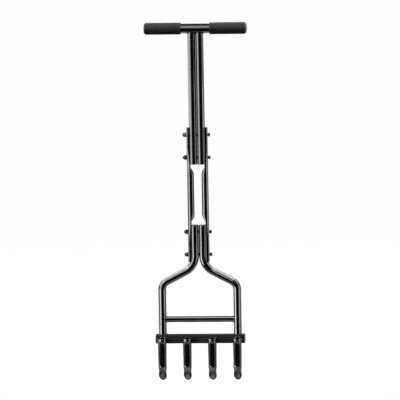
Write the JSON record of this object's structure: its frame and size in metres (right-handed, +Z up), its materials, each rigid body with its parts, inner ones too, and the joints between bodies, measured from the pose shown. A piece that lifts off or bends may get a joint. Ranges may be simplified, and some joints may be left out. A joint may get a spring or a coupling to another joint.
{
  "type": "manual lawn aerator",
  "caption": "Push-in lawn aerator with a foam-gripped T-handle on a bolted twin-tube shaft, a forked foot frame and hollow coring tines welded to a square foot bar.",
  "frame": {"origin": "on the plane of the tine tips, under the middle of the handlebar and of the whole depth", "axes": "+Z up the shaft to the handlebar; +X along the handlebar, towards the side with the bolt heads; -Y towards the side with the tines"},
  "size_m": [0.2666, 0.0502, 0.9297],
  "materials": {
    "gloss_paint": "gloss",
    "satin_paint": "satin",
    "foam": "matte foam",
    "plastic": "matte",
    "fastener": "blackened"
  },
  "bodies": {
    "root": {"handlebar": "gloss_paint", "grip_left": "foam", "grip_right": "foam", "handlebar_plug_left": "plastic", "handlebar_plug_right": "plastic", "upper_tube_left": "gloss_paint", "upper_tube_right": "gloss_paint", "upper_tube_plug_left": "plastic", "upper_tube_plug_right": "plastic", "connector_left": "gloss_paint", "connector_right": "gloss_paint", "bolt_upper_1": "fastener", "bolt_upper_2": "fastener", "bolt_lower_1": "fastener", "bolt_lower_2": "fastener", "cap_nut_upper_1": "fastener", "cap_nut_upper_2": "fastener", "cap_nut_lower_1": "fastener", "cap_nut_lower_2": "fastener", "leg_left": "gloss_paint", "leg_right": "gloss_paint", "leg_plug_left": "plastic", "leg_plug_right": "plastic", "crossbar": "gloss_paint", "foot_bar": "satin_paint", "foot_bar_plug_left": "plastic", "foot_bar_plug_right": "plastic", "tine_1": "satin_paint", "tine_2": "satin_paint", "tine_3": "satin_paint", "tine_4": "satin_paint"}
  },
  "joints": []
}
